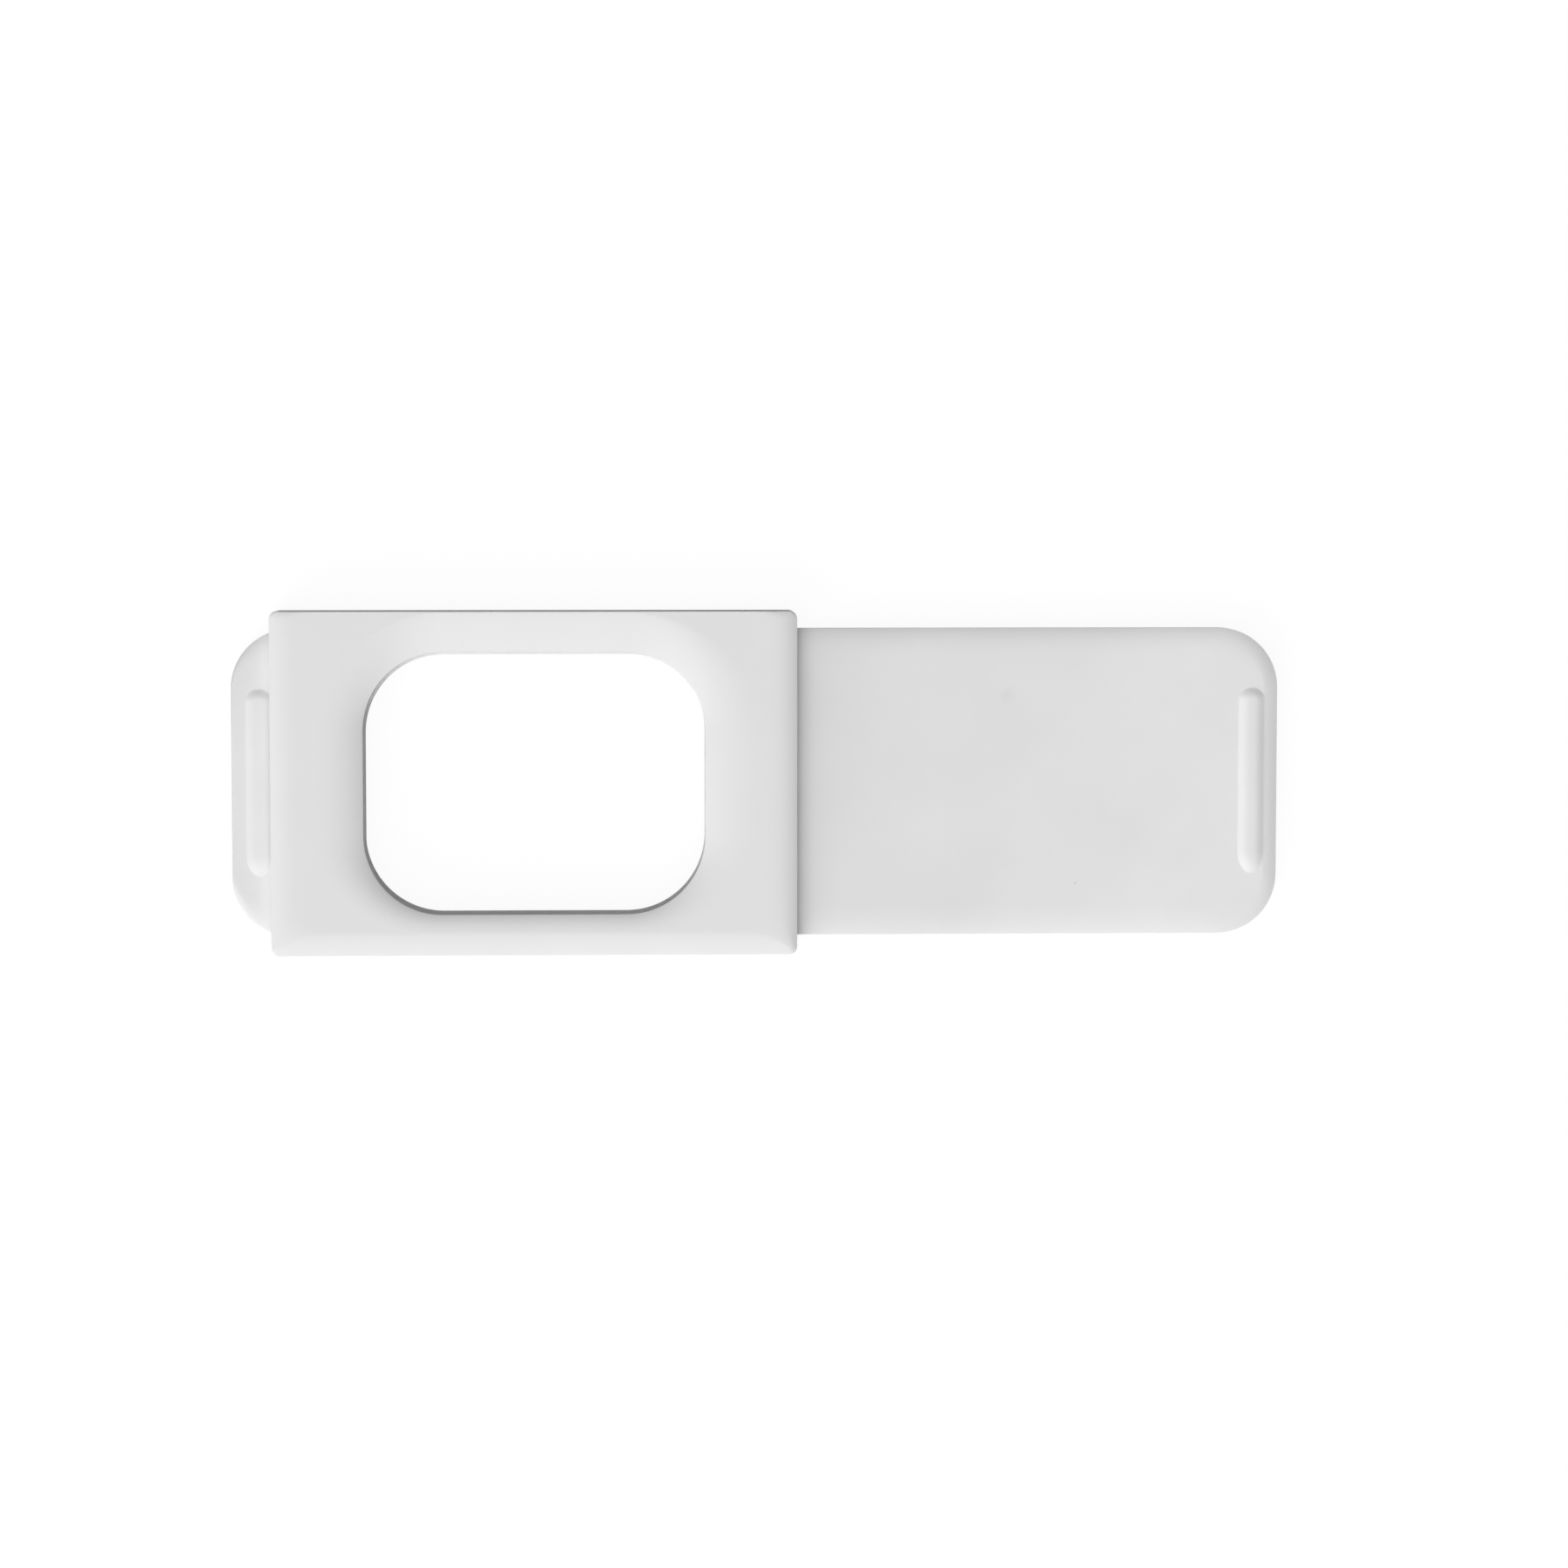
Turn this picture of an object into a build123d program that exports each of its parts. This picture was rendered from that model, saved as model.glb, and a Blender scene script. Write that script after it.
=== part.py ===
"""Webcam cover slider: a moulded sleeve with a window, and a shutter plate that slides through it.

Millimetres. X runs along the slide, Y across it, and Z out of the front face.
The origin is the middle of the window, on the plane where the adhesive meets the bezel.
The shutter stands open, with its own opening behind the window.
"""

import os

from build123d import *

# Window, the clear opening through the sleeve
window_length = 13.0
window_corner = 3.0

# Sleeve walls around the slot
stile_width = 3.5
side_wall = 0.6
front_wall = 0.75
back_wall = 0.4
sleeve_corner = 0.3

# Shutter plate
shutter_height = 11.75
shutter_thickness = 0.6
shutter_corner = 2.3
rail_width = 0.875
blank_overlap = 3.95

# Finger ribs at the two ends of the shutter, which are also its stops
rib_length = 7.0
rib_width = 0.83
rib_height = 0.18
rib_inset = 0.645
rib_crest = 0.11
rib_foot = 0.05

# Adhesive tape frame
tape_thickness = 0.2
tape_inset = 0.4
tape_window_inset = 0.3
tape_corner = 0.5

# Running clearances
side_clearance = 0.08
face_clearance = 0.05
stop_clearance = 0.05

# Moulded edges: a front edge rolls over in a quarter ellipse, so wide across the face and so deep
sleeve_roll_width = 0.7
sleeve_roll_depth = 0.2
window_roll_width = 1.0
window_roll_depth = 0.35
shutter_roll_width = 0.7
shutter_roll_depth = 0.12
aperture_roll = 0.07
back_edge_chamfer = 0.1

# How far a cutter stands clear of what it cuts
cutter_spare = 0.3

# Sizes that follow
window_height = shutter_height - 2 * rail_width
slot_height = shutter_height + 2 * side_clearance
slot_depth = shutter_thickness + 2 * face_clearance
sleeve_length = window_length + 2 * stile_width
sleeve_height = slot_height + 2 * side_wall
shutter_travel = window_length + blank_overlap
shutter_length = sleeve_length + shutter_travel + 2 * (stop_clearance + rib_width + rib_inset)
rib_roll_width = (rib_width - rib_crest) / 2
rib_roll_depth = rib_height - rib_foot

# Heights above the bezel
back_face = tape_thickness
slot_floor = back_face + back_wall
slot_roof = slot_floor + slot_depth
front_face = slot_roof + front_wall
shutter_back = slot_floor + face_clearance
shutter_front = shutter_back + shutter_thickness
rib_top = shutter_front + rib_height

# Places along the slide, with the shutter open
stop_reach = sleeve_length / 2 + stop_clearance + rib_width / 2
left_rib = -stop_reach
right_rib = stop_reach + shutter_travel
shutter_middle = (left_rib + right_rib) / 2


def roll_waste(rim_plane, width, depth):
    """Draw the waste outside a quarter-ellipse roll: local X runs into the solid from the rim, local Y up."""
    with BuildSketch(rim_plane) as waste:
        with BuildLine():
            roll = EllipticalCenterArc((width, -depth), width, depth, 90, arc_size=90)
            Polyline(
                roll @ 1,
                (-cutter_spare, -depth),
                (-cutter_spare, cutter_spare),
                (width, cutter_spare),
                roll @ 0,
            )
        make_face()
    return waste.sketch


def roll_rim(rim, width, depth, hole=False):
    """Roll over the edge along a closed rim, which runs round the solid or round a hole in it."""
    ahead = rim % 0
    into_solid = Vector(0, 0, 1).cross(ahead)
    if hole:
        into_solid = -into_solid
    rim_plane = Plane(origin=rim @ 0, x_dir=into_solid, z_dir=into_solid.cross(Vector(0, 0, 1)))
    sweep(sections=roll_waste(rim_plane, width, depth), path=rim, mode=Mode.SUBTRACT)


# Sleeve: one moulding with a slot right through along X and a window through front and back
with BuildPart() as sleeve:
    with BuildSketch(Plane.XY.offset(back_face)):
        RectangleRounded(sleeve_length, sleeve_height, sleeve_corner)
    extrude(amount=front_face - back_face)
    chamfer(sleeve.faces().sort_by(Axis.Z)[0].outer_wire().edges(), back_edge_chamfer)

    # The four outer edges of the front roll over and meet in a mitre at the corners
    for across, span in ((Plane.XZ, sleeve_length), (Plane.YZ, sleeve_height)):
        with BuildSketch(across):
            with Locations((-span / 2, front_face)):
                add(roll_waste(Plane.XY, sleeve_roll_width, sleeve_roll_depth))
            mirror(about=Plane.YZ)
        extrude(amount=sleeve_length, both=True, mode=Mode.SUBTRACT)

    with BuildSketch(Plane.XY.offset(front_face)) as window:
        RectangleRounded(window_length, window_height, window_corner)
    extrude(amount=-front_face, mode=Mode.SUBTRACT)
    roll_rim(window.sketch.face().outer_wire(), window_roll_width, window_roll_depth, hole=True)

    with BuildSketch(Plane.YZ):
        with Locations((0, (slot_floor + slot_roof) / 2)):
            Rectangle(slot_height, slot_depth)
    extrude(amount=sleeve_length, both=True, mode=Mode.SUBTRACT)

# Shutter: one moulding with an opening, a blank end that covers the window, and a rib at each end
with BuildPart() as shutter:
    with BuildSketch(Plane.XY.offset(shutter_front)) as plate:
        with Locations((shutter_middle, 0)):
            RectangleRounded(shutter_length, shutter_height, shutter_corner)
    extrude(amount=-shutter_thickness)
    roll_rim(plate.sketch.face().outer_wire(), shutter_roll_width, shutter_roll_depth)

    with BuildSketch(Plane.XY.offset(shutter_front)) as aperture:
        RectangleRounded(window_length, window_height, window_corner)
    extrude(amount=-shutter_thickness, mode=Mode.SUBTRACT)
    roll_rim(aperture.sketch.face().outer_wire(), aperture_roll, aperture_roll, hole=True)
    chamfer(shutter.faces().sort_by(Axis.Z)[0].edges(), back_edge_chamfer)

    with BuildSketch(Plane.XY.offset(rib_top)) as ribs:
        with Locations((left_rib, 0), (right_rib, 0)):
            SlotOverall(rib_length, rib_width, rotation=90)
    extrude(amount=-rib_height - shutter_thickness / 2)
    for rib in ribs.sketch.faces():
        roll_rim(rib.outer_wire(), rib_roll_width, rib_roll_depth)

# Adhesive pad: a die-cut tape frame on the sleeve's back, set in from its outline and from the window
with BuildPart() as adhesive_pad:
    with BuildSketch():
        RectangleRounded(sleeve_length - 2 * tape_inset, sleeve_height - 2 * tape_inset, tape_corner)
        RectangleRounded(
            window_length + 2 * tape_window_inset,
            window_height + 2 * tape_window_inset,
            window_corner + tape_window_inset,
            mode=Mode.SUBTRACT,
        )
    extrude(amount=tape_thickness)

sleeve.part.label = "sleeve"
shutter.part.label = "shutter"
adhesive_pad.part.label = "adhesive_pad"

os.makedirs("parts", exist_ok=True)
for piece in (sleeve.part, shutter.part, adhesive_pad.part):
    export_step(piece, f"parts/{piece.label}.step")
    print(piece.label, round(piece.volume, 3), "mm3", piece.bounding_box())
print("shutter travel", round(shutter_travel, 3))
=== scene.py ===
# %% [markdown]
# Webcam cover slider, dressed for a product picture.
#
# The real thing is three pieces: a white moulded sleeve with a rounded window, a thin white shutter plate
# that slides through it, and a frame of foam tape on the back that holds it to a bezel. There is little
# to it but soft edges and a satin skin, so this lesson is about those two. The measured model is loaded
# first as a fixed frame, and every piece drawn here takes its place and size from it.

# %% Load the measured frame
import math

import bpy
from mathutils import Matrix, Vector


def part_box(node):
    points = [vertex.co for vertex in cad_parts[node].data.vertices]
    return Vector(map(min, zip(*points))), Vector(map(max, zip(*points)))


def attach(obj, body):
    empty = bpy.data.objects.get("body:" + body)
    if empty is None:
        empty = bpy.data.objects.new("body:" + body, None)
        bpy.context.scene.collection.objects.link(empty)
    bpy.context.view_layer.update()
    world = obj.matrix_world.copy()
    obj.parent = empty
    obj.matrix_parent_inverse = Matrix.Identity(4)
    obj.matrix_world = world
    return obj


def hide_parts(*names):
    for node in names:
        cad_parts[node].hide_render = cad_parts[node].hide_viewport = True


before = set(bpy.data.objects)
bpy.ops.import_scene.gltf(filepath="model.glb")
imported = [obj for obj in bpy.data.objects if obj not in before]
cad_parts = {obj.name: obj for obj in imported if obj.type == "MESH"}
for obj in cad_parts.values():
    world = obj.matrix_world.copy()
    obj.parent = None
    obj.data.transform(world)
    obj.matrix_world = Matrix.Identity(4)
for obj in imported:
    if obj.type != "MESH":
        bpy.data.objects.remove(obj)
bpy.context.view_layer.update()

# %% [markdown]
# The pieces are a few tenths of a millimetre thick in places. Blender's tools have small fixed
# tolerances, so it is safer to draw at a size where they do not matter. Everything is drawn in
# millimetres, and each finished mesh is brought to metres once, at the end.

# %% Read the sizes of the frame in millimetres
metres_per_mm = 0.001


def box_in_mm(node):
    """Give the lowest and highest corner of a measured piece in millimetres."""
    low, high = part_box(node)
    return low / metres_per_mm, high / metres_per_mm


sleeve_low, sleeve_high = box_in_mm("sleeve")
shutter_low, shutter_high = box_in_mm("shutter")
tape_low, tape_high = box_in_mm("adhesive_pad")
sleeve_size = sleeve_high - sleeve_low
shutter_size = shutter_high - shutter_low
tape_size = tape_high - tape_low
for piece_name, extents in (("sleeve", sleeve_size), ("shutter", shutter_size), ("tape", tape_size)):
    print(piece_name, [round(extent, 3) for extent in extents], "mm")

# %% [markdown]
# Plates, ribs and openings on this object all follow one rule: a rectangle with round corners, carried
# straight from back to front, with an edge that rolls over at each end. Each could be modelled by hand,
# but one Geometry Nodes tree with named inputs draws them all. A negative roll flares outwards instead,
# which gives the cutter for a window with soft edges. The four sides of the front edge may each have a
# width and a depth of their own, and may fall in a quarter ellipse, in a slower crown or by a power. A
# bell swells out of the plate below it without a crease, as a rib does.

# %% Add a node with its settings and links
MATH = "ShaderNodeMath"
VECTOR_MATH = "ShaderNodeVectorMath"
COMBINE = "ShaderNodeCombineXYZ"
SWITCH = "GeometryNodeSwitch"


def add_node(tree, kind, inputs=(), **settings):
    """Add one node. Its inputs, in order or by name, take a value or the output of another node."""
    node = tree.nodes.new(kind)
    for setting, value in settings.items():
        setattr(node, setting, value)
    pairs = inputs.items() if isinstance(inputs, dict) else enumerate(inputs)
    for socket, value in pairs:
        if isinstance(value, bpy.types.Node):
            value = value.outputs[0]
        if isinstance(value, bpy.types.NodeSocket):
            tree.links.new(value, node.inputs[socket])
        else:
            node.inputs[socket].default_value = value
    return node


# %% Name the inputs of the rolled slab
edge_sizes = ("Roll", "Depth", "Power")
edge_sides = ("Left", "Right", "Top", "Bottom")
slab_numbers = ["Length", "Height", "Corner", "Blend", "Middle X", "Pitch", "Back Z", "Front Z", "Crown"]
slab_numbers += ["Back Roll", "Back Depth"]
slab_numbers += [f"{side_name} {size_name}" for size_name in edge_sizes for side_name in edge_sides]
slab_inputs = dict.fromkeys(slab_numbers, "NodeSocketFloat")
slab_inputs |= {"Bell": "NodeSocketBool", "Copies": "NodeSocketInt", "Material": "NodeSocketMaterial"}

slab = bpy.data.node_groups.new("rolled slab", "GeometryNodeTree")
for input_name, socket_type in slab_inputs.items():
    slab.interface.new_socket(input_name, in_out="INPUT", socket_type=socket_type)
slab.interface.new_socket("Mesh", in_out="OUTPUT", socket_type="NodeSocketGeometry")
given = add_node(slab, "NodeGroupInput").outputs
print("rolled slab takes", [socket.name for socket in given if socket.name])

# %% [markdown]
# The slab starts from a plain cylinder. Its points are numbered ring by ring, so dividing a point's
# number gives its ring, and dividing what is left gives the corner that it belongs to and its step round
# that corner. The rings are taken from the front face to the back, and the corners from the upper right
# one on, against the clock.

# %% Find each point's corner and direction
corner_count = 4
steps_round_corner = 28
steps_over_edge = 18
points_in_corner = steps_round_corner + 1
points_in_ring = corner_count * points_in_corner
last_ring = 2 * steps_over_edge + 1
quarter_turn = math.pi / 2
turn_of_step = quarter_turn / steps_round_corner


def direction_of(angle):
    """Give the direction at an angle. The sine of the angle a quarter turn ahead is its cosine."""
    ahead = add_node(slab, MATH, [angle, quarter_turn], operation="ADD")
    both_angles = add_node(slab, COMBINE, [ahead, angle])
    return add_node(slab, VECTOR_MATH, [both_angles], operation="SINE")


index = add_node(slab, "GeometryNodeInputIndex")
ring_share = add_node(slab, MATH, [index, points_in_ring], operation="DIVIDE")
ring = add_node(slab, MATH, [ring_share], operation="FLOOR")
place_in_ring = add_node(slab, MATH, [index, points_in_ring], operation="MODULO")
corner_share = add_node(slab, MATH, [place_in_ring, points_in_corner], operation="DIVIDE")
corner = add_node(slab, MATH, [corner_share], operation="FLOOR")
step = add_node(slab, MATH, [place_in_ring, points_in_corner], operation="MODULO")
corner_turn = add_node(slab, MATH, [corner, quarter_turn], operation="MULTIPLY")
turn = add_node(slab, MATH, [step, turn_of_step, corner_turn], operation="MULTIPLY_ADD")
outward = direction_of(turn)
middle_turn = add_node(slab, MATH, [corner_turn, quarter_turn / 2], operation="ADD")
corner_side = add_node(slab, VECTOR_MATH, [direction_of(middle_turn)], operation="SIGN")
print("each ring has", points_in_ring, "points")

# %% [markdown]
# A bevel would give an edge the same round everywhere. Here each ring of points is one step of the roll
# instead, so the curve is free. How far a ring has come in from the outline, its inset, and how far it
# lies below the face, its drop, are first worked out as shares from 0 to 1 and get their sizes later.

# %% Roll each edge over
MIX = "ShaderNodeMix"
# A Mix node has sockets of the same names for each kind of data, so they are picked by number
MIX_SHARE = 0
MIX_FROM = 2
MIX_TO = 3
crown_power = 3.0
bell_crest_power = 2.8
bell_foot_power = 1.65

on_back = add_node(slab, MATH, [ring, steps_over_edge], operation="GREATER_THAN")
ring_from_back = add_node(slab, MATH, [last_ring, ring], operation="SUBTRACT")
ring_from_face = add_node(slab, MATH, [ring, ring_from_back], operation="MINIMUM")
rise = add_node(slab, MATH, [ring_from_face, -1.0 / steps_over_edge, 1.0], operation="MULTIPLY_ADD")
lean = add_node(slab, MATH, [rise, quarter_turn], operation="MULTIPLY")
lean_cosine = add_node(slab, MATH, [lean], operation="COSINE")
lean_sine = add_node(slab, MATH, [lean], operation="SINE")
ellipse_inset = add_node(slab, MATH, [1.0, lean_cosine], operation="SUBTRACT")
ellipse_drop = add_node(slab, MATH, [1.0, lean_sine], operation="SUBTRACT")

# A crown falls away slowly and ends in a crisp edge, where an ellipse would go on to turn straight down
crown_drop = add_node(slab, MATH, [lean_cosine, crown_power], operation="POWER")
crown_share = add_node(slab, SWITCH, [on_back, given["Crown"], 0.0], input_type="FLOAT")
roll_drop = add_node(slab, MIX, {MIX_SHARE: crown_share, MIX_FROM: ellipse_drop, MIX_TO: crown_drop})

# A bell has a round crest and a small hollow at its foot, so that it leaves the plate with no crease
from_crest = add_node(slab, MATH, [1.0, rise], operation="SUBTRACT")
crest_fall = add_node(slab, MATH, [from_crest, bell_crest_power], operation="POWER")
crest_rest = add_node(slab, MATH, [1.0, crest_fall], operation="SUBTRACT")
bell_height = add_node(slab, MATH, [crest_rest, bell_foot_power], operation="POWER")
bell_drop = add_node(slab, MATH, [1.0, bell_height], operation="SUBTRACT")
inset_share = add_node(slab, SWITCH, [given["Bell"], ellipse_inset, rise], input_type="FLOAT")
drop_share = add_node(slab, SWITCH, [given["Bell"], roll_drop, bell_drop], input_type="FLOAT")
print("each edge rolls over in", steps_over_edge, "steps")

# %% [markdown]
# The shading on the real mouldings shows that their front edges do not roll over alike on every side. So
# each side has sizes of its own, and the tree picks them by the corner that a point belongs to. A corner
# then takes its inset from two sides at once: along X from the end and along Y from the top or bottom.

# %% Give each side its own roll
# Corners are numbered from 0, so 1 and 2 are the left ones, and 2 and 3 the bottom ones
left_corners_middle = 1.5
left_corners_reach = 0.6
top_corners_end = 1.5

on_left = add_node(slab, MATH, [corner, left_corners_middle, left_corners_reach], operation="COMPARE")
on_bottom = add_node(slab, MATH, [corner, top_corners_end], operation="GREATER_THAN")
end_size = {}
side_size = {}
for size_name in edge_sizes:
    left, right, top, bottom = (given[f"{side_name} {size_name}"] for side_name in edge_sides)
    end_size[size_name] = add_node(slab, SWITCH, [on_left, right, left], input_type="FLOAT")
    side_size[size_name] = add_node(slab, SWITCH, [on_bottom, top, bottom], input_type="FLOAT")

# On the front, a side may fall by a power of its own, and a power near 1 gives a nearly straight slope
own_shares = []
for power in (end_size["Power"], side_size["Power"]):
    front_power = add_node(slab, SWITCH, [on_back, power, 0.0], input_type="FLOAT")
    root = add_node(slab, MATH, [1.0, front_power], operation="DIVIDE")
    fallen = add_node(slab, MATH, [drop_share, root], operation="POWER")
    power_share = add_node(slab, MATH, [1.0, fallen], operation="SUBTRACT")
    has_power = add_node(slab, MATH, [front_power, 0.0], operation="GREATER_THAN")
    own_shares.append(add_node(slab, SWITCH, [has_power, inset_share, power_share], input_type="FLOAT"))
inset_shares = add_node(slab, COMBINE, own_shares)
front_rolls = add_node(slab, COMBINE, [end_size["Roll"], side_size["Roll"]])
rolls = add_node(slab, SWITCH, [on_back, front_rolls, given["Back Roll"]], input_type="VECTOR")
inset = add_node(slab, VECTOR_MATH, [rolls, inset_shares], operation="MULTIPLY")
print("each side of the front has its own", ", ".join(edge_sizes))

# %% Work out each point's height
# Round a corner, the depth passes smoothly from that of the end to that of the top or bottom
outward_y = add_node(slab, "ShaderNodeSeparateXYZ", [outward]).outputs["Y"]
side_blend = add_node(slab, MATH, [outward_y, outward_y], operation="MULTIPLY")
depths = {MIX_SHARE: side_blend, MIX_FROM: end_size["Depth"], MIX_TO: side_size["Depth"]}
front_depth = add_node(slab, MIX, depths)
roll_depth = add_node(slab, SWITCH, [on_back, front_depth, given["Back Depth"]], input_type="FLOAT")
drop = add_node(slab, MATH, [roll_depth, drop_share], operation="MULTIPLY")
front_height = add_node(slab, MATH, [given["Front Z"], drop], operation="SUBTRACT")
back_height = add_node(slab, MATH, [given["Back Z"], drop], operation="ADD")
height = add_node(slab, SWITCH, [on_back, front_height, back_height], input_type="FLOAT")
print("rolled slab has", len(slab.nodes), "nodes so far")

# %% [markdown]
# Now the points can go to their places. Where the rolls are wider than the corner is round, two slopes
# meet at the corner: in a mitre, where the points of the corner fall together and are merged, or in a
# blend, where one slope turns into the other. A mesh line then repeats the slab, for pieces that come in
# a row.

# %% Put the points in place
# A bell ends in domes as long as its rolls there, and any other corner is round
dome_choice = [given["Bell"], given["Corner"], side_size["Roll"]]
corner_height = add_node(slab, SWITCH, dome_choice, input_type="FLOAT")
corner_size = add_node(slab, COMBINE, [given["Corner"], corner_height])
corner_after_inset = add_node(slab, VECTOR_MATH, [corner_size, inset], operation="SUBTRACT")
blend_size = add_node(slab, VECTOR_MATH, {"Vector": inset, "Scale": given["Blend"]}, operation="SCALE")
corner_left = add_node(slab, VECTOR_MATH, [corner_after_inset, blend_size], operation="MAXIMUM")
corner_reach = add_node(slab, VECTOR_MATH, [inset, corner_left], operation="ADD")
outline = add_node(slab, COMBINE, [given["Length"], given["Height"]])
half_outline = add_node(slab, VECTOR_MATH, {"Vector": outline, "Scale": 0.5}, operation="SCALE")
corner_middle = add_node(slab, VECTOR_MATH, [half_outline, corner_reach], operation="SUBTRACT")
round_part = add_node(slab, VECTOR_MATH, [outward, corner_left], operation="MULTIPLY")
place_parts = [corner_side, corner_middle, round_part]
flat_place = add_node(slab, VECTOR_MATH, place_parts, operation="MULTIPLY_ADD")
lift = add_node(slab, COMBINE, [0.0, 0.0, height])
place = add_node(slab, VECTOR_MATH, [flat_place, lift], operation="ADD")
rings = {"Vertices": points_in_ring, "Side Segments": last_ring}
cylinder = add_node(slab, "GeometryNodeMeshCylinder", rings, fill_type="NGON")
shaped = add_node(slab, "GeometryNodeSetPosition", {"Geometry": cylinder, "Position": place})
print("each slab has", last_ring + 1, "rings of points")

# %% Close the mitres, repeat the slab and give it its material
merge_distance = 0.00005

closed = add_node(slab, "GeometryNodeMergeByDistance", {"Geometry": shaped, "Distance": merge_distance})
first_place = add_node(slab, COMBINE, [given["Middle X"]])
pitch_step = add_node(slab, COMBINE, [given["Pitch"]])
row = {"Count": given["Copies"], "Start Location": first_place, "Offset": pitch_step}
places = add_node(slab, "GeometryNodeMeshLine", row)
copies = add_node(slab, "GeometryNodeInstanceOnPoints", {"Points": places, "Instance": closed})
real_copies = add_node(slab, "GeometryNodeRealizeInstances", [copies])
dressing = {"Geometry": real_copies, "Material": given["Material"]}
finished = add_node(slab, "GeometryNodeSetMaterial", dressing)
add_node(slab, "NodeGroupOutput", [finished])
print("rolled slab has", len(slab.nodes), "nodes in all")

# %% [markdown]
# A few small helpers turn the rule into pieces. Three write down the sizes of an edge: side by side, all
# round, or at the back. One fills in the tree's inputs and freezes the result to a plain mesh, and one
# cuts a slab out of another or joins it on. The last smooths the finished piece: the broad flat faces
# lead the shading, so they stay flat right up to where an edge starts to roll, and edges that are truly
# sharp stay crisp.

# %% Write down the sizes of an edge
def on_sides(size_name, left, right, top, bottom):
    """Give a size of the front edge, such as its roll or its depth, for each of its four sides."""
    input_names = [f"{side_name} {size_name}" for side_name in edge_sides]
    return dict(zip(input_names, (left, right, top, bottom)))


def all_round(size_name, size):
    """Give a size of the front edge that is the same on every side."""
    return on_sides(size_name, left=size, right=size, top=size, bottom=size)


def even_roll(roll):
    """Give the sizes of a front edge that rolls over alike all round, or flares if the roll is negative."""
    return all_round("Roll", roll) | all_round("Depth", abs(roll))


def back_roll(roll):
    """Give the sizes of a back edge that rolls over, or flares if the roll is negative."""
    return {"Back Roll": roll, "Back Depth": abs(roll)}


# %% Freeze a piece, make a slab, and combine slabs
slab_socket = {item.name: item.identifier for item in slab.interface.items_tree if item.in_out == "INPUT"}


def freeze(piece):
    """Turn a piece and its modifiers into a plain mesh."""
    depsgraph = bpy.context.evaluated_depsgraph_get()
    plain = bpy.data.meshes.new_from_object(piece.evaluated_get(depsgraph))
    piece.modifiers.clear()
    piece.data = plain


def make_slab(name, material, sizes, copies=1, bell=False):
    """Draw a rolled slab in millimetres. Sizes are inputs of the tree by name, and zero if left out."""
    piece = bpy.data.objects.new(name, bpy.data.meshes.new(name))
    bpy.context.scene.collection.objects.link(piece)
    rule = piece.modifiers.new("rolled slab", "NODES")
    rule.node_group = slab
    for input_name in slab_numbers:
        rule[slab_socket[input_name]] = float(sizes.get(input_name, 0.0))
    rule[slab_socket["Bell"]] = bell
    rule[slab_socket["Copies"]] = copies
    rule[slab_socket["Material"]] = material
    freeze(piece)
    # The cylinder brings an empty material slot of its own
    piece.data.materials.pop(index=0)
    print(name, "drawn with", len(piece.data.polygons), "faces")
    return piece


def combine(piece, tool, operation):
    """Cut a tool out of a piece or join it on, then delete the tool."""
    joint = piece.modifiers.new(operation.lower(), "BOOLEAN")
    joint.operation = operation
    joint.solver = "EXACT"
    joint.object = tool
    freeze(piece)
    bpy.data.objects.remove(tool)


# %% Smooth a finished piece and bring it to metres
crisp_edge_angle = math.radians(35)
# A matrix that places points has four rows and columns
matrix_size = 4


def finish_piece(piece):
    """Smooth the rolled edges, keep the sharp ones crisp, and bring the drawing to metres."""
    piece.data.shade_smooth()
    piece.data.set_sharp_from_angle(angle=crisp_edge_angle)
    flat_faces_lead = piece.modifiers.new("flat faces lead", "WEIGHTED_NORMAL")
    flat_faces_lead.keep_sharp = True
    freeze(piece)
    piece.data.name = piece.name
    piece.data.transform(Matrix.Scale(metres_per_mm, matrix_size))
    print(piece.name, "finished with", len(piece.data.polygons), "faces")


# %% [markdown]
# Both mouldings are white ABS, the usual plastic for small clip-on parts, out of a tool with a fine
# spark-eroded skin. That gives the eye a satin white: soft broad highlights and no mirror images. Under a
# lens the skin has a very fine grain, and the melt leaves slow, barely visible changes of tone. Colours
# are written as sRGB hex values and turned to linear by one function, because that is what shaders work
# in.

# %% Turn hex colours to linear, and real sizes to noise scales
def linear(hex_colour):
    """Turn an sRGB hex colour into linear red, green, blue and alpha, by the curve of that standard."""
    channels = [int(hex_colour[start : start + 2], 16) / 255 for start in (1, 3, 5)]
    return [c / 12.92 if c <= 0.04045 else ((c + 0.055) / 1.055) ** 2.4 for c in channels] + [1.0]


def scale_for(size_in_mm):
    """Give a noise scale whose features are about this size."""
    return 1 / (size_in_mm * metres_per_mm)


# %% Start a material
def start_material(name):
    """Start a material, and give it with its node tree and its shader."""
    material = bpy.data.materials.new(name)
    material.use_nodes = True
    return material, material.node_tree, material.node_tree.nodes["Principled BSDF"]


# %% Satin moulded ABS
NOISE = "ShaderNodeTexNoise"
MAP_RANGE = "ShaderNodeMapRange"
BUMP = "ShaderNodeBump"
# The colour sockets of a Mix node
MIX_FROM_COLOUR = 6
MIX_TO_COLOUR = 7
MIXED_COLOUR = 2
bump_strength = 1.0
abs_ior = 1.53
abs_specular_level = 0.25
abs_roughness_low = 0.64
abs_roughness_high = 0.72
tone_patch_mm = 4.5
tone_detail = 3.0
# The real grain is near 0.03 mm, which is less than a pixel, so it is drawn coarse enough to show
grain_mm = 0.11
grain_detail = 2.0


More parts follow.
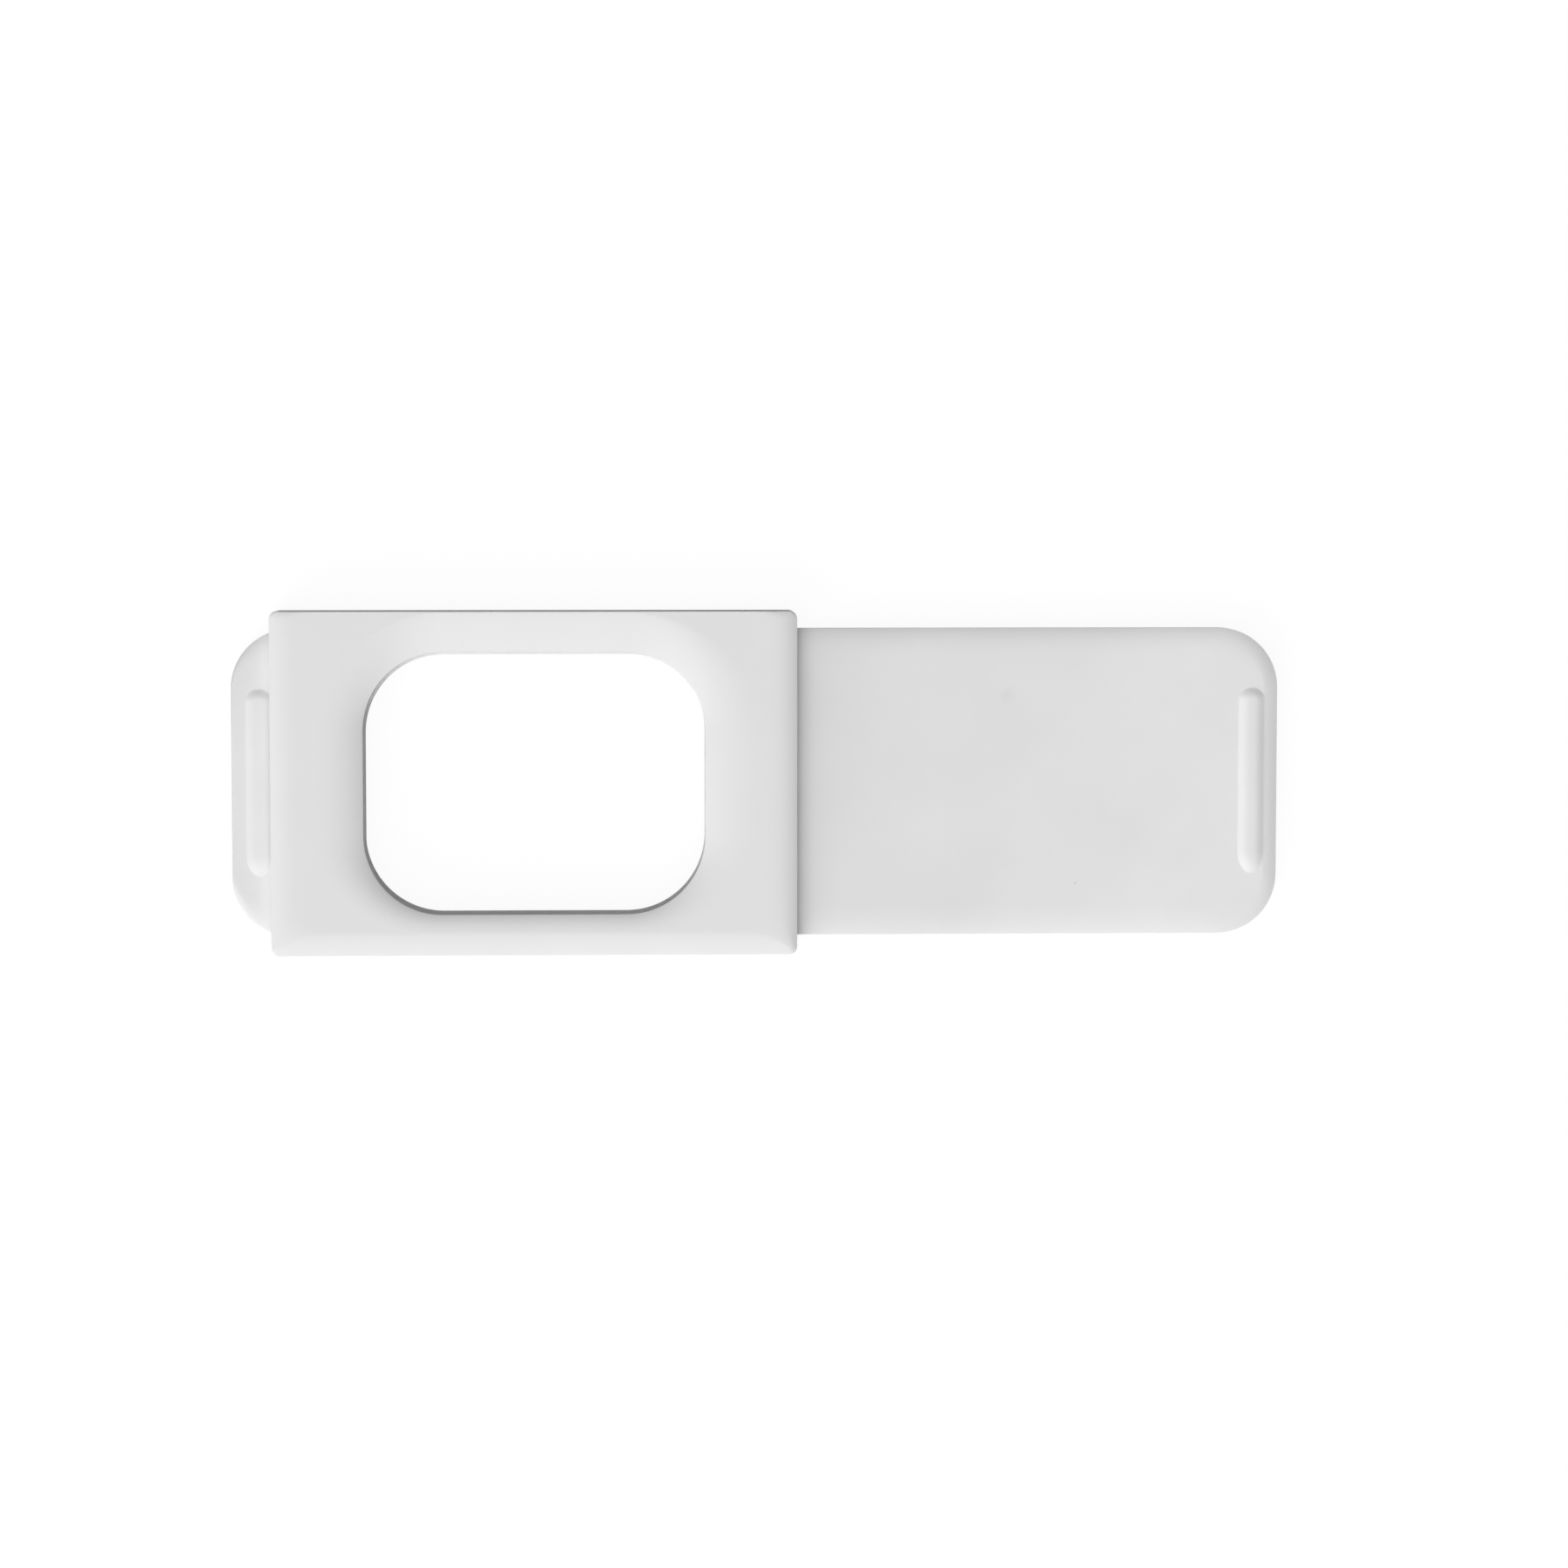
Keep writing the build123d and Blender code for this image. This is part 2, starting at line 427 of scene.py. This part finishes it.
def satin_abs(name, light, dark, grain_height_mm):
    """White ABS from a spark-eroded tool: broad soft highlights, a fine grain and slow changes of tone."""
    material, tree, shader = start_material(name)
    shader.inputs["IOR"].default_value = abs_ior
    shader.inputs["Specular IOR Level"].default_value = abs_specular_level
    spot = add_node(tree, "ShaderNodeTexCoord").outputs["Object"]
    patch_sizes = {"Vector": spot, "Scale": scale_for(tone_patch_mm), "Detail": tone_detail}
    patches = add_node(tree, NOISE, patch_sizes)
    tones = {MIX_SHARE: patches, MIX_FROM_COLOUR: linear(dark), MIX_TO_COLOUR: linear(light)}
    tone = add_node(tree, MIX, tones, data_type="RGBA")
    roughness = {"Value": patches, "To Min": abs_roughness_low, "To Max": abs_roughness_high}
    sheen = add_node(tree, MAP_RANGE, roughness)
    grain_sizes = {"Vector": spot, "Scale": scale_for(grain_mm), "Detail": grain_detail}
    grain = add_node(tree, NOISE, grain_sizes)
    grain_height = grain_height_mm * metres_per_mm
    skin = add_node(tree, BUMP, {"Height": grain, "Strength": bump_strength, "Distance": grain_height})
    tree.links.new(tone.outputs[MIXED_COLOUR], shader.inputs["Base Color"])
    tree.links.new(sheen.outputs[0], shader.inputs["Roughness"])
    tree.links.new(skin.outputs[0], shader.inputs["Normal"])
    print("made", name)
    return material


# %% White for the sleeve and for the shutter
sleeve_abs = satin_abs(
    "satin moulded ABS sleeve", light="#E5E5E5", dark="#DFDFDF", grain_height_mm=0.0015
)
shutter_abs = satin_abs(
    "satin moulded ABS shutter", light="#EDEDED", dark="#DFDFDF", grain_height_mm=0.0008
)

# %% [markdown]
# The shutter has been handled. It has a faint smudge above the middle of its blank half and a tiny dark
# speck near its lower edge. Its colour also carries painted shade: it is a trace greyer from its left
# end to just past the sleeve, most there, and this painted shade fades out along X. The marks are soft
# round patches by the distance to their middles, with a little noise added to the place, so that they
# are not true circles. All of it is in the piece's own coordinates, so it travels with the plate.

# %% Painted shade on the shutter
# Painted shade: the plate's colour is greyed most at this X, just past the sleeve, and less towards both
# ends
painted_shade_peak_x = 11.0
painted_shade_end_x = 23.6
painted_shade_peak_share = 0.115
painted_shade_left_share = 0.095

tree = shutter_abs.node_tree
spot = add_node(tree, "ShaderNodeTexCoord").outputs["Object"]
along = add_node(tree, "ShaderNodeSeparateXYZ", [spot]).outputs["X"]
painted_shade_slopes = []
for start_x, start_share in ((shutter_low.x, painted_shade_left_share), (painted_shade_end_x, 0.0)):
    slope = {
        "Value": along,
        "From Min": start_x * metres_per_mm,
        "From Max": painted_shade_peak_x * metres_per_mm,
        "To Min": start_share,
        "To Max": painted_shade_peak_share,
    }
    painted_shade_slopes.append(add_node(tree, MAP_RANGE, slope))
painted_shade = add_node(tree, MATH, painted_shade_slopes, operation="MINIMUM")
# The printed X is where the painted shade is greyest
print("shutter shaded most at X", painted_shade_peak_x, "mm")

# %% Smudge and speck on the shutter
# The plate by itself, without its ribs
plate_thickness = 0.6
plate_back = shutter_low.z
plate_front = plate_back + plate_thickness
mark_ragged_mm = 0.35
noise_middle = (0.5, 0.5, 0.5)
# Each mark's middle and radius in millimetres, and its share of dirt at the middle
smudge = {"x": 18.07, "y": 3.30, "radius": 0.45, "share": 0.08}
speck = {"x": 20.70, "y": -3.93, "radius": 0.09, "share": 0.30}

ragged = add_node(tree, NOISE, {"Vector": spot, "Scale": scale_for(mark_ragged_mm)})
shift = add_node(tree, VECTOR_MATH, [ragged.outputs["Color"], noise_middle], operation="SUBTRACT")
# The first layer is the painted shade near the sleeve, and the others are the real smudge and speck
dirt_and_shade_layers = [painted_shade]
for mark in (smudge, speck):
    radius = mark["radius"] * metres_per_mm
    reach = add_node(tree, VECTOR_MATH, {"Vector": shift, "Scale": radius}, operation="SCALE")
    bent_spot = add_node(tree, VECTOR_MATH, [spot, reach], operation="ADD")
    middle = Vector((mark["x"], mark["y"], plate_front)) * metres_per_mm
    distance = add_node(tree, VECTOR_MATH, [bent_spot, middle], operation="DISTANCE").outputs["Value"]
    fade = {"Value": distance, "From Min": radius, "From Max": 0.0, "To Max": mark["share"]}
    dirt_and_shade_layers.append(add_node(tree, MAP_RANGE, fade, interpolation_type="SMOOTHSTEP"))
print("drew", len(dirt_and_shade_layers), "layers of dirt")

# %% Lay the dirt and the painted shade over the plastic
# This grey stands both for the dirt of the smudge and speck and for the painted shade
dirt_and_shade_colour = "#8C8C8C"

colour_socket = tree.nodes["Principled BSDF"].inputs["Base Color"]
for dirt_and_shade in dirt_and_shade_layers:
    clean = colour_socket.links[0].from_socket
    layer = {MIX_SHARE: dirt_and_shade, MIX_FROM_COLOUR: clean, MIX_TO_COLOUR: linear(dirt_and_shade_colour)}
    marked = add_node(tree, MIX, layer, data_type="RGBA")
    tree.links.new(marked.outputs[MIXED_COLOUR], colour_socket)
print("laid the dirt over", shutter_abs.name)

# %% [markdown]
# The tape is white acrylic foam with a film of glue on both faces, cut by a die. The glue is pale and a
# little shiny, and the foam under it shows as a fine pebble, so it gets a warmer white, a lower roughness
# and a bubble pattern of its own.

# %% Acrylic foam tape
tape_light = "#E2DFD6"
tape_dark = "#D3CFC4"
tape_ior = 1.47
tape_roughness = 0.28
bubble_mm = 0.16
bubble_height_mm = 0.010

foam_tape, tree, shader = start_material("die-cut acrylic foam tape")
shader.inputs["IOR"].default_value = tape_ior
shader.inputs["Roughness"].default_value = tape_roughness
spot = add_node(tree, "ShaderNodeTexCoord").outputs["Object"]
bubble_sizes = {"Vector": spot, "Scale": scale_for(bubble_mm)}
bubbles = add_node(tree, "ShaderNodeTexVoronoi", bubble_sizes, feature="SMOOTH_F1")
tones = {MIX_SHARE: bubbles, MIX_FROM_COLOUR: linear(tape_dark), MIX_TO_COLOUR: linear(tape_light)}
tone = add_node(tree, MIX, tones, data_type="RGBA")
bubble_height = bubble_height_mm * metres_per_mm
pebble = add_node(tree, BUMP, {"Height": bubbles, "Strength": bump_strength, "Distance": bubble_height})
tree.links.new(tone.outputs[MIXED_COLOUR], shader.inputs["Base Color"])
tree.links.new(pebble.outputs[0], shader.inputs["Normal"])
print("made", foam_tape.name)

# %% [markdown]
# The sleeve is one moulding: a flat box with a slot right through it from end to end, and a window
# through its front and back walls. Cutting slabs out of a slab follows how the tool makes it, with one
# core for the slot and one for the window. The front edge of the window flares out in a wide soft roll,
# nearly to the roll of the outer edge, which gives the frame around the window its pillowed look.

# %% Sleeve block
sleeve_corner = 0.3
sleeve_back_roll = 0.1
# At 0 the slopes of the front would meet in mitres, and at 1 they turn into each other
sleeve_blend = 1.0

sleeve = make_slab(
    "sleeve_moulding",
    sleeve_abs,
    {
        "Length": sleeve_size.x,
        "Height": sleeve_size.y,
        "Corner": sleeve_corner,
        "Blend": sleeve_blend,
        "Back Z": sleeve_low.z,
        "Front Z": sleeve_high.z,
        **on_sides("Roll", left=1.1, right=1.2, top=0.02, bottom=0.9),
        **on_sides("Depth", left=0.175, right=0.2, top=0.175, bottom=0.175),
        "Crown": 0.95,
        "Right Power": 3.4,
        "Bottom Power": 1.6,
        **back_roll(sleeve_back_roll),
    },
)

# %% Window through the sleeve
window_length = 13.0
window_height = 10.0
window_corner = 3.0
window_back_flare = 0.05
# How far a cutter or a foot passes the face that it meets, so that the two meshes cross cleanly
face_overlap = 0.0003

window_core = make_slab(
    "window_core",
    sleeve_abs,
    {
        "Length": window_length,
        "Height": window_height,
        "Corner": window_corner,
        "Back Z": sleeve_low.z - face_overlap,
        "Front Z": sleeve_high.z + face_overlap,
        **on_sides("Roll", left=-1.85, right=-2.3, top=-1.5, bottom=-0.85),
        **on_sides("Depth", left=0.31, right=0.31, top=0.31, bottom=0.17),
        "Crown": 0.9,
        "Top Power": 1.2,
        **back_roll(-window_back_flare),
    },
)
combine(sleeve, window_core, "DIFFERENCE")

# %% [markdown]
# The slot guides the shutter. Its core runs from end to end and flares a little at both mouths, as a
# moulding does so that the plate goes in without catching. A slab's own axis stands up, so the core is
# drawn upright and then laid along the slide.

# %% Slot through the sleeve
front_wall = 0.75
back_wall = 0.4
side_wall = 0.6
slot_corner = 0.06
slot_mouth_flare = 0.05
slot_floor = sleeve_low.z + back_wall
slot_roof = sleeve_high.z - front_wall

slot_core = make_slab(
    "slot_core",
    sleeve_abs,
    {
        "Length": slot_roof - slot_floor,
        "Height": sleeve_size.y - 2 * side_wall,
        "Corner": slot_corner,
        "Middle X": -(slot_roof + slot_floor) / 2,
        "Back Z": sleeve_low.x - face_overlap,
        "Front Z": sleeve_high.x + face_overlap,
        **even_roll(-slot_mouth_flare),
        **back_roll(-slot_mouth_flare),
    },
)
slot_core.data.transform(Matrix.Rotation(quarter_turn, matrix_size, "Y"))
combine(sleeve, slot_core, "DIFFERENCE")
finish_piece(sleeve)

# %% [markdown]
# The shutter is one thin moulding with round corners. Its opening stands behind the window when the
# shutter is open, a trace low and to the right, as the picture shows it. Its blank half covers the window
# when it is shut. The plate is a slab, and its opening is cut like the window, with a smaller flare.

# %% Shutter plate
plate_corner = 2.3
plate_back_roll = 0.1

shutter = make_slab(
    "shutter_moulding",
    shutter_abs,
    {
        "Length": shutter_size.x,
        "Height": shutter_size.y,
        "Corner": plate_corner,
        "Middle X": (shutter_low.x + shutter_high.x) / 2,
        "Back Z": plate_back,
        "Front Z": plate_front,
        **on_sides("Roll", left=0.06, right=0.55, top=1.05, bottom=1.3),
        **on_sides("Depth", left=0.12, right=0.155, top=0.115, bottom=0.1),
        "Crown": 0.9,
        "Right Power": 1.5,
        **back_roll(plate_back_roll),
    },
)

# %% Opening through the plate
opening_flare = 0.07
opening_offset = Vector((0.05, -0.1, 0.0))

opening_core = make_slab(
    "opening_core",
    shutter_abs,
    {
        "Length": window_length,
        "Height": window_height,
        "Corner": window_corner,
        "Back Z": plate_back - face_overlap,
        "Front Z": plate_front + face_overlap,
        **even_roll(-opening_flare),
        **back_roll(-plate_back_roll),
    },
)
opening_core.data.transform(Matrix.Translation(opening_offset))
combine(shutter, opening_core, "DIFFERENCE")

# %% [markdown]
# A finger rib stands at each end of the shutter, and the two ribs are also its stops. They are the same
# slab twice, so the tree makes both in one go. Their section is a bell, because they swell out of the
# plate with no crease at the foot. Each is sunk into the plate, and its slopes end just below the face,
# so that plate and ribs join cleanly.

# %% Finger ribs
rib_foot_width = 1.06
rib_foot_length = 7.2
rib_crest_width = 0.02
rib_top_dome = 0.48
rib_bottom_dome = 0.85
rib_height = 0.125
rib_sink = 0.1
rib_count = 2
left_rib_inset = 1.05
right_rib_inset = 1.00
left_rib = shutter_low.x + left_rib_inset
right_rib = shutter_high.x - right_rib_inset
rib_flank = (rib_foot_width - rib_crest_width) / 2

ribs = make_slab(
    "finger_ribs",
    shutter_abs,
    {
        "Length": rib_foot_width,
        "Height": rib_foot_length,
        "Corner": rib_foot_width / 2,
        "Middle X": left_rib,
        "Pitch": (right_rib - left_rib) / (rib_count - 1),
        "Back Z": plate_front - rib_sink,
        "Front Z": plate_front + rib_height,
        **on_sides("Roll", left=rib_flank, right=rib_flank, top=rib_top_dome, bottom=rib_bottom_dome),
        **all_round("Depth", rib_height + face_overlap),
    },
    copies=rib_count,
    bell=True,
)
combine(shutter, ribs, "UNION")
finish_piece(shutter)

# %% [markdown]
# The tape frame is die-cut, so its edges are plain and square apart from the slight pull-in that a blade
# leaves at the faces. It is set in from the sleeve's outline and from the window, so that no glue shows
# from the front.

# %% Tape frame
tape_corner = 0.5
tape_window_inset = 0.3
tape_edge_roll = 0.03

tape = make_slab(
    "tape_frame",
    foam_tape,
    {
        "Length": tape_size.x,
        "Height": tape_size.y,
        "Corner": tape_corner,
        "Back Z": tape_low.z,
        "Front Z": tape_high.z,
        **even_roll(tape_edge_roll),
        **back_roll(tape_edge_roll),
    },
)
tape_blade = make_slab(
    "tape_blade",
    foam_tape,
    {
        "Length": window_length + 2 * tape_window_inset,
        "Height": window_height + 2 * tape_window_inset,
        "Corner": window_corner + tape_window_inset,
        "Back Z": tape_low.z - face_overlap,
        "Front Z": tape_high.z + face_overlap,
        **even_roll(-tape_edge_roll),
        **back_roll(-tape_edge_roll),
    },
)
combine(tape, tape_blade, "DIFFERENCE")
finish_piece(tape)

# %% [markdown]
# Each finished piece stands for one measured node and moves with its body. The sleeve carries the tape,
# and the shutter slides by itself.

# %% Hand the pieces to the frame
for piece, body, node, slot_name in (
    (sleeve, "sleeve", "sleeve", "sleeve_plastic"),
    (shutter, "shutter", "shutter", "shutter_plastic"),
    (tape, "sleeve", "adhesive_pad", "adhesive_tape"),
):
    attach(piece, body)
    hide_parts(node)

# %% [markdown]
# The picture is lit like a catalogue shot, in an even white room that fills the shadows. To the camera,
# and in reflections, the room is plain white. As a light it is much weaker, so that the lamps still
# model the edges. The room's lamps and floor are given in metres.

# %% White room
white = linear("#FFFFFF")
room_fill = 0.205


def where_seen(tree):
    """Give 1 to rays that show a surface straight, in a reflection or through glass, and 0 to others."""
    ray = add_node(tree, "ShaderNodeLightPath").outputs
    seen = add_node(tree, MATH, [ray["Is Camera Ray"], ray["Is Glossy Ray"]], operation="MAXIMUM")
    return add_node(tree, MATH, [seen, ray["Is Transmission Ray"]], operation="MAXIMUM")


world = bpy.data.worlds.new("white room")
bpy.context.scene.world = world
world.use_nodes = True
tree = world.node_tree
background = tree.nodes["Background"]
background.inputs["Color"].default_value = white
brightness = add_node(tree, MAP_RANGE, {"Value": where_seen(tree), "To Min": room_fill, "To Max": 1.0})
tree.links.new(brightness.outputs[0], background.inputs["Strength"])
print("room fill", room_fill)

# %% [markdown]
# Two large soft lamps stand at the lower left, one low and one high, and a third hangs straight overhead.
# Together with the room they give the flat faces about the light that shows a colour as it is written. So
# each lamp is set by its share of that light, and its power follows from how far and how high it stands.

# %% Soft lamps
lamp_azimuth = math.radians(234.5)
lamp_distance = 0.8
lamp_aim = (shutter_low + shutter_high) / 2 * metres_per_mm


def add_lamp(name, elevation, width, share):
    """Add a square lamp that gives a white flat face this share of the light. Elevation is in degrees."""
    elevation = math.radians(elevation)
    level = math.cos(elevation)
    x = level * math.cos(lamp_azimuth)
    y = level * math.sin(lamp_azimuth)
    direction = Vector((x, y, math.sin(elevation)))
    lamp_data = bpy.data.lights.new(name, "AREA")
    lamp_data.size = width
    # A white flat face shows about energy * sin(elevation) / (pi * distance) ** 2 of full white
    lamp_data.energy = share * math.pi**2 * lamp_distance**2 / math.sin(elevation)
    lamp = bpy.data.objects.new(name, lamp_data)
    bpy.context.scene.collection.objects.link(lamp)
    lamp.location = lamp_aim + direction * lamp_distance
    lamp.rotation_euler = direction.to_track_quat("Z", "Y").to_euler()
    print(name, round(lamp_data.energy, 3), "W")


add_lamp("low soft lamp", elevation=26, width=0.8, share=0.425)
add_lamp("high soft lamp", elevation=62, width=0.7, share=0.22)
add_lamp("overhead soft lamp", elevation=90, width=0.7, share=0.295)

# %% [markdown]
# The floor is a sheet of white paper. Its own colour takes the object's shadow, and a glow that only the
# camera and reflections see lifts it to plain white.

# %% Paper floor
floor_reach = 2.0
floor_colour = "#505050"
floor_glow = 0.935
paper_roughness = 1.0
paper_specular_level = 0.0

paper, tree, shader = start_material("white paper floor")
shader.inputs["Base Color"].default_value = linear(floor_colour)
shader.inputs["Roughness"].default_value = paper_roughness
shader.inputs["Specular IOR Level"].default_value = paper_specular_level
shader.inputs["Emission Color"].default_value = white
glow = add_node(tree, MATH, [where_seen(tree), floor_glow], operation="MULTIPLY")
tree.links.new(glow.outputs[0], shader.inputs["Emission Strength"])

floor_mesh = bpy.data.meshes.new("paper floor")
corner_signs = ((-1, -1), (1, -1), (1, 1), (-1, 1))
floor_corners = [(x_sign * floor_reach, y_sign * floor_reach, 0.0) for x_sign, y_sign in corner_signs]
floor_mesh.from_pydata(floor_corners, [], [(0, 1, 2, 3)])
floor_mesh.materials.append(paper)
floor = bpy.data.objects.new("paper_floor", floor_mesh)
bpy.context.scene.collection.objects.link(floor)
print("floor", 2 * floor_reach, "m square")

# %% [markdown]
# The picture looks almost straight down, from above the top edge and a little to the left of the middle:
# the left and lower walls of the window show, and the upper one does not. A long lens from 152 mm away
# keeps the edges nearly parallel.

# %% Camera
camera_distance = 152.2
camera_tilt = math.radians(4.0)
camera_yaw = math.radians(-2.1)
camera_target = Vector((9.52, -0.08, plate_front))
view_width = 59.98
sensor_width = 36.0
nearest_seen = 10.0

camera_data = bpy.data.cameras.new("camera")
camera_data.sensor_width = sensor_width
camera_data.lens = sensor_width * camera_distance / view_width
camera_data.clip_start = nearest_seen * metres_per_mm
camera = bpy.data.objects.new("camera", camera_data)
bpy.context.scene.collection.objects.link(camera)
camera.rotation_euler = (-camera_tilt, camera_yaw, 0.0)
camera_back = camera.rotation_euler.to_matrix() @ Vector((0.0, 0.0, 1.0))
camera.location = (camera_target + camera_back * camera_distance) * metres_per_mm
bpy.context.scene.camera = camera
bpy.context.scene.view_settings.view_transform = "Standard"
print("lens", round(camera_data.lens, 1), "mm")
